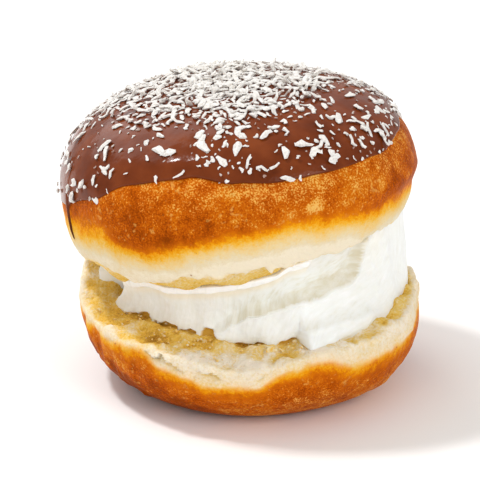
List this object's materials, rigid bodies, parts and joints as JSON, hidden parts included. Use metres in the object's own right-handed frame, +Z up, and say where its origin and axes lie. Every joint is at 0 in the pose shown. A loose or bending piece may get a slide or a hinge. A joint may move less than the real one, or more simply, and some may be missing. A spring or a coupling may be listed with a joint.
{
  "type": "cream-filled doughnut",
  "caption": "Round fried doughnut, slit and opened on an uncut hinge, filled with folds of whipped cream, its dome iced with chocolate and strewn with coconut flakes.",
  "frame": {"origin": "middle of the flat spot under the bun that it rests on", "axes": "+Z up; -Y is the front that the picture shows; +X is the side where the slit gapes widest, to the right of the front; the hinge is at the back left"},
  "size_m": [0.0974, 0.0954, 0.0824],
  "materials": {
    "fried_dough": "fried yeast dough: golden brown crust with a pale band at the slit and torn yellow crumb inside",
    "whipped_cream": "stiff whipped cream, soft sheen, streaked by the spatula",
    "chocolate": "set milk chocolate icing with a soft gloss",
    "coconut": "dry shredded coconut, matt white"
  },
  "bodies": {
    "root": {"bun": "fried_dough", "cream": "whipped_cream", "icing": "chocolate"}
  },
  "joints": []
}
